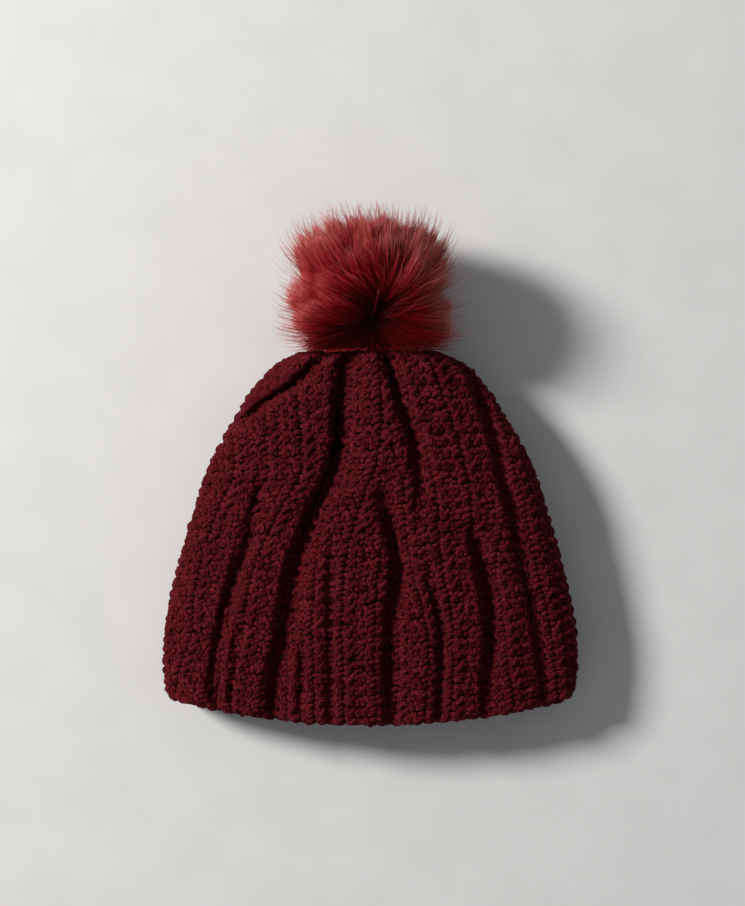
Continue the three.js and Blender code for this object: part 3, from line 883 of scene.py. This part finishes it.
def wood_material():
    """Turned wood with rings and pores."""
    nodes = Nodes("button_wood")
    where = nodes.add("ShaderNodeTexCoord")
    grain = nodes.add("ShaderNodeTexWave", wave_type="RINGS", rings_direction="Y")
    grain.inputs["Scale"].default_value = 190
    grain.inputs["Distortion"].default_value = 5
    grain.inputs["Detail"].default_value = 3
    grain.inputs["Detail Scale"].default_value = 1.4
    nodes.link(where.outputs["Object"], grain.inputs["Vector"])
    pores = nodes.noise(2600, 3)
    rings = nodes.math("MULTIPLY", grain.outputs["Fac"], 0.65)
    shade = nodes.math("ADD", rings, nodes.math("MULTIPLY", pores, 0.4))
    nodes.bump(shade, 0.3, 0.0003)
    colour = nodes.ramp(shade, [
        (0.2, (0.11, 0.045, 0.018)), (0.55, (0.25, 0.115, 0.048)), (0.9, (0.42, 0.23, 0.11)),
    ])
    return nodes.finish(colour, Roughness=0.48, Specular_IOR_Level=0.4, Coat_Weight=0.15)


braid = yarn_material(
    "elastic_cord", (0.008, 0.004, 0.005), (0.022, 0.012, 0.014), (0.07, 0.045, 0.05), 6, 3.4)
thread = yarn_material(
    "sewing_thread", (0.03, 0.001, 0.002), (0.11, 0.006, 0.011), (0.24, 0.03, 0.04), 2, 1.6)
base_cloth = woven("fur_base_cloth", (0.022, 0.0008, 0.0018), (0.085, 0.007, 0.011), 170, 0.9)
stuffing = fibrous("fibre_filling", (0.42, 0.40, 0.37), (0.85, 0.84, 0.81))
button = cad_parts["anchor_button"]
button.data.materials.clear()
button.data.materials.append(wood_material())

seam()
drawstring()
elastic()
gather_thread()
backing()
filling()

# ---- the pom-pom's fur ----

ROOT_CENTRE = on_axis([0, BALL_CENTRE, 0])
FUR_ROOT_RADIUS = 23.6
# The fur parts along a short line over the ball, from the whorl beside the crown.
PARTING = unit(np.array([-0.06, -0.90, 0.44]))
PARTING_END = unit(np.array([0.16, -0.66, 0.74]))
FUR_CENTRE = np.array([0.0, 96.5, 43.6])
FUR_RADII = np.array([47.5, 43.5, 42.5])
FUR_LENGTH = 60.0       # no hair is longer
FUR_STRANDS = 40000
WHORL_STRANDS = 5000    # of these, grow close round the parting
FUR_PIECES = 8
FUR_POINTS = 7
TUFTS = 300
STRAYS = 0.05           # share of the hairs that stand out of their tufts
UNDER_FUR = 0.22        # share of the hairs that are shorter
BARE = -0.9             # no hair grows nearer the backing's mouth than this
# How far a hair bends over, in radians, against the angle of its root from the parting.
BEND_AT = [0, 0.6, 1.2, 1.8, 2.5, math.pi]
BEND = [2.1, 2.0, 1.55, 1.05, 0.5, 0.15]


def turn_between(start, end, angle):
    """Unit vectors turned from start towards end, which is square to it."""
    return start * np.cos(angle)[..., None] + end * np.sin(angle)[..., None]


def random_directions(count):
    z = rng.uniform(-1, 1, count)
    turn = rng.uniform(0, 2 * math.pi, count)
    flat = np.sqrt(1 - z * z)
    return np.stack([flat * np.cos(turn), flat * np.sin(turn), z], -1)


def nearest_parting(roots):
    """The nearest point of the parting to each root."""
    run = PARTING_END - PARTING
    share = np.clip((roots - PARTING) @ run / (run @ run), 0, 1)
    return unit(PARTING + share[:, None] * run)


def hair_lines(roots, reach, swirl):
    """Lines of hair that leave the backing along its radius and are combed away from the parting."""
    nearest = nearest_parting(roots)
    toward = (roots * nearest).sum(-1)
    away = unit(toward[:, None] * roots - nearest + 1e-6)
    aside = np.cross(roots, away)
    squashed = np.clip(-1.6 * roots[:, 1] - 0.5, 0, 1) * np.tanh(4 * roots[:, 0])
    spread = squashed[:, None] * np.array([1.3, 0, 0]) - np.abs(squashed)[:, None] * np.array([0, 0.5, 0])
    comb = unit(away + swirl[:, None] * aside + spread)
    near = np.arccos(np.clip(toward, -1, 1))
    bend = np.interp(near, BEND_AT, BEND)
    bend *= 1 - 0.42 * smooth_step(0.2, 0.9, -away[:, 1]) * (1 - smooth_step(0.8, 1.3, near))
    u = np.linspace(0, 1, FUR_POINTS)
    angle = bend[:, None] * (0.45 + 0.55 * u)
    heading = turn_between(roots[:, None], comb[:, None], angle)
    heading[:, :, 2] -= 0.10 * u ** 2
    travelled = np.concatenate([
        np.zeros((len(roots), 1, 3)),
        np.cumsum((heading[:, 1:] + heading[:, :-1]) / 2, axis=1) / (FUR_POINTS - 1),
    ], axis=1)
    base = FUR_ROOT_RADIUS * roots + ROOT_CENTRE - FUR_CENTRE
    full = travelled[:, -1]
    length = hair_length(base, full, reach)
    tip = np.abs(unit((base + full * length[:, None]) / FUR_RADII))
    corner = ((tip[:, 0] ** 3 + tip[:, 1] ** 3) ** (2 / 3) + tip[:, 2] ** 2) ** -0.5
    length = hair_length(base, full, reach * corner)
    return base[:, None] + travelled * length[:, None, None]


def hair_length(base, full, reach):
    """How far along full a hair goes from base to end at that share of the fur's radii."""
    a = ((full / FUR_RADII) ** 2).sum(-1)
    b = (base * full / FUR_RADII ** 2).sum(-1)
    c = ((base / FUR_RADII) ** 2).sum(-1) - reach ** 2
    return np.minimum((-b + np.sqrt(np.maximum(b * b - a * c, 0))) / a, FUR_LENGTH)


def clear_of_hat(points):
    """Hair lies on the floor and on the hat's crown, and not in them."""
    x, y, z = points[..., 0], points[..., 1], points[..., 2]
    y = np.where(y < 66, 66 + 0.45 * (y - 66), y)
    crown_top = np.interp(y, [52, 60, 66, 69], [46, 44, 40, 30]) * (1 - 0.25 * (x / 50) ** 2) + 1.5
    inside = (y < 69.5) & (z < crown_top) & (np.abs(x) < 60)
    over = inside & (z > crown_top - 12)
    points[..., 2] = np.where(over, crown_top + 0.3 + 0.05 * (z - crown_top + 12), z)
    points[..., 1] = np.where(inside & ~over, 69.5 + 0.08 * (y - 69.5), y)
    points[..., 2] = np.maximum(points[..., 2], 0.5)
    return points


def fur():
    """All the hair: where each one grows, how far it reaches, its tuft, its waves and its tone, which holds
    painted light and shade besides random tone.
    """
    heads = random_directions(TUFTS)
    roots = random_directions(FUR_STRANDS * 2)
    roots = roots[roots @ ALONG_POMPOM > BARE][:FUR_STRANDS]
    near_parting = PARTING + np.array([0, -0.05, -0.12]) + rng.normal(0, 0.34, (WHORL_STRANDS, 3))
    roots[:WHORL_STRANDS] = unit(near_parting)
    nearest = np.argmax(roots @ heads.T, axis=1)
    tuft_reach = rng.uniform(0.84, 1.02, TUFTS)
    tuft_swirl = rng.normal(0, 0.16, TUFTS)
    reach = tuft_reach[nearest] * rng.uniform(0.80, 1.04, len(roots))
    stray = rng.random(len(roots)) < STRAYS
    reach = np.where(stray, rng.uniform(1.02, 1.22, len(roots)), reach)
    under_fur = rng.random(len(roots)) < UNDER_FUR
    reach = np.where(under_fur, reach * rng.uniform(0.74, 0.9, len(roots)), reach)
    swirl = tuft_swirl[nearest] + rng.normal(0, 0.10, len(roots))
    swirl = swirl + np.where(stray, rng.normal(0, 0.3, len(roots)), 0)
    lines = hair_lines(roots, reach, swirl)
    guide = hair_lines(heads, tuft_reach, tuft_swirl)[nearest]
    u = np.linspace(0, 1, FUR_POINTS)[None, :, None]
    parting = nearest_parting(roots)
    away = unit(roots - parting)
    head_away = unit(heads - nearest_parting(heads))[nearest]
    same_side = smooth_step(0.4, 0.9, (away * head_away).sum(-1))
    pull = np.where(stray, 0.1, rng.uniform(0.35, 0.7, len(roots))) * same_side
    pull = pull[:, None, None] * u ** 1.6
    lines = lines * (1 - pull) + guide * pull
    wave = rng.normal(0, 1, (len(roots), 1, 3)) * np.sin(u * 5 + rng.uniform(0, 6, (len(roots), 1, 1)))
    lines = lines + wave * u * 0.5 + FUR_CENTRE
    lines = clear_of_hat(lines)
    taper = np.interp(u[..., 0], [0, 0.5, 0.85, 1], [1, 1, 0.6, 0.12])
    radius = rng.uniform(0.085, 0.13, (len(roots), 1)) * taper
    # Painted shade near the parting, in its crease, and painted light to the right of it, where the key
    # light leaves the fur in shade.
    near = np.arccos(np.clip((roots * parting).sum(-1), -1, 1))
    right = smooth_step(-0.05, 0.35, roots[:, 0] - parting[:, 0])
    shade = np.interp(near, [0, 0.7, 1.3, 1.9], [-0.5, -0.4, 0.05, 0.25]) + 0.95 * right
    # Painted shade on the shorter under-fur, which lies under the longer hairs.
    shade += 3.2 * (np.minimum(reach, 1) - 0.88)
    shade = np.where(stray, -0.7, shade)
    tones = np.clip(0.5 + rng.normal(0, 0.22, len(roots)) + shade, -1.2, 1.9)
    for i, chosen in enumerate(np.array_split(np.arange(len(roots)), FUR_PIECES)):
        strand_piece(f"fur_{i + 1}", lines[chosen], radius[chosen], tones[chosen])


def strand_piece(name, lines, radius, tones):
    """Hairs with three sides, as one piece. Their place holds the share of the length and the tone."""
    sides = 3
    ups = unit(rng.normal(0, 1, (len(lines), 1, 3))) * np.ones((1, FUR_POINTS, 1))
    verts, quads, caps, _ = sweep(lines, ups, radius, sides)
    steps = FUR_POINTS - 1
    per_face = np.repeat(np.arange(len(lines)), steps * sides)
    share = np.tile(np.repeat(np.arange(steps), sides), len(lines)) / steps
    place = np.zeros((len(quads), 4, 2))
    place[:, 0:2, 0] = share[:, None]
    place[:, 2:4, 0] = share[:, None] + 1 / steps
    place[:, :, 1] = tones[per_face][:, None]
    caps_place = np.zeros((caps.size, 2))
    caps_place[caps.size // 2:, 0] = 1
    places = np.concatenate([place.reshape(-1, 2), caps_place])
    piece = build(name, verts, [quads, caps], fur_hair, places)
    across = np.array([0.0, 1.0, 1.0, 0.0])
    cells = places.copy()
    cells[:len(quads) * 4, 1] = (per_face[:, None] + 0.1 + 0.8 * across).ravel() / len(lines)
    add_bake_layer(piece, cells)
    stand_for(piece, "pompom", "pompom_fur")


def hair_material():
    """Dark roots to paler tips, shifted along the hair by its tone. The dark roots are painted shade deep
    in the fur; the pale tips are partly the fur's own colour and partly painted light.
    """
    nodes = Nodes("faux_fur")
    place = nodes.add("ShaderNodeUVMap", uv_map="place")
    parts = nodes.add("ShaderNodeSeparateXYZ")
    nodes.link(place.outputs[0], parts.inputs[0])
    along_hair, tone = parts.outputs[0], parts.outputs[1]
    shift = nodes.math("MULTIPLY", nodes.math("SUBTRACT", tone, 0.5), 0.36)
    patch = nodes.math("MULTIPLY", nodes.math("SUBTRACT", nodes.noise(70, 2), 0.5), 0.3)
    where = nodes.math("ADD", nodes.math("ADD", along_hair, shift), patch)
    # Root to tip: painted shade at the roots, the fur's red in the middle, partly painted light at the pale
    # tips; the tone that shifts it carries painted light and shade.
    colour = nodes.ramp(where, [
        (0.0, (0.06, 0.0002, 0.001)), (0.38, (0.23, 0.0008, 0.0045)), (0.62, (0.42, 0.008, 0.016)),
        (0.84, (0.50, 0.070, 0.064)), (1.0, (0.60, 0.165, 0.140)),
    ])
    return nodes.finish(colour, Roughness=0.5, Specular_IOR_Level=0.18)


fur_hair = hair_material()
fur()

# ---- light, floor and camera ----


FLOOR_SIZE = 8
KEY_PLACE = (-2.04, 0.92, 1.50)
KEY_TARGET = (0, 0, 0.02)
KEY_SIZE = 0.64
KEY_POWER = 84
KEY_COLOUR = (1.0, 0.97, 0.94)
WORLD_COLOUR = (0.93, 0.96, 1.0, 1)
WORLD_LIGHT = 0.20
CAMERA_HEIGHT = 1.325   # the camera looks straight down on the middle of the hat
FOCUS_HEIGHT = 0.025
SEEN = 0.502            # metres from the top of the picture to its bottom, at the focus height
SENSOR = 36


def key_light():
    """One soft disk of light from the left, a little on the crown's side."""
    lamp = bpy.data.lights.new("key", "AREA")
    lamp.shape = "DISK"
    lamp.size = KEY_SIZE
    lamp.energy = KEY_POWER
    lamp.color = KEY_COLOUR
    holder = bpy.data.objects.new("key", lamp)
    bpy.context.scene.collection.objects.link(holder)
    holder.location = KEY_PLACE
    direction = Vector(KEY_TARGET) - Vector(KEY_PLACE)
    holder.rotation_euler = direction.to_track_quat("-Z", "Y").to_euler()


def floor_and_light():
    """A plain pale floor, the key light and an even sky."""
    bpy.ops.mesh.primitive_plane_add(size=FLOOR_SIZE)
    floor = bpy.context.object
    floor.name = "floor"
    nodes = Nodes("paper")
    tint = nodes.ramp(nodes.noise(30, 2), [(0.3, (0.80, 0.80, 0.79)), (0.7, (0.84, 0.84, 0.83))])
    floor.data.materials.append(nodes.finish(tint, Roughness=0.9))
    key_light()
    world = bpy.data.worlds.new("studio")
    world.use_nodes = True
    world.node_tree.nodes["Background"].inputs[0].default_value = WORLD_COLOUR
    world.node_tree.nodes["Background"].inputs[1].default_value = WORLD_LIGHT
    bpy.context.scene.world = world


def camera():
    lens = bpy.data.cameras.new("camera")
    holder = bpy.data.objects.new("camera", lens)
    bpy.context.scene.collection.objects.link(holder)
    lens.sensor_fit = "VERTICAL"
    lens.sensor_height = SENSOR
    lens.lens = SENSOR * (CAMERA_HEIGHT - FOCUS_HEIGHT) / SEEN
    lens.clip_end = 20
    holder.location = (0.0011, 0.0086, CAMERA_HEIGHT)
    holder.rotation_euler = (0, 0, 0)
    bpy.context.scene.camera = holder


floor_and_light()
camera()
bpy.context.scene.view_settings.view_transform = "Standard"
bpy.context.scene.view_settings.look = "None"
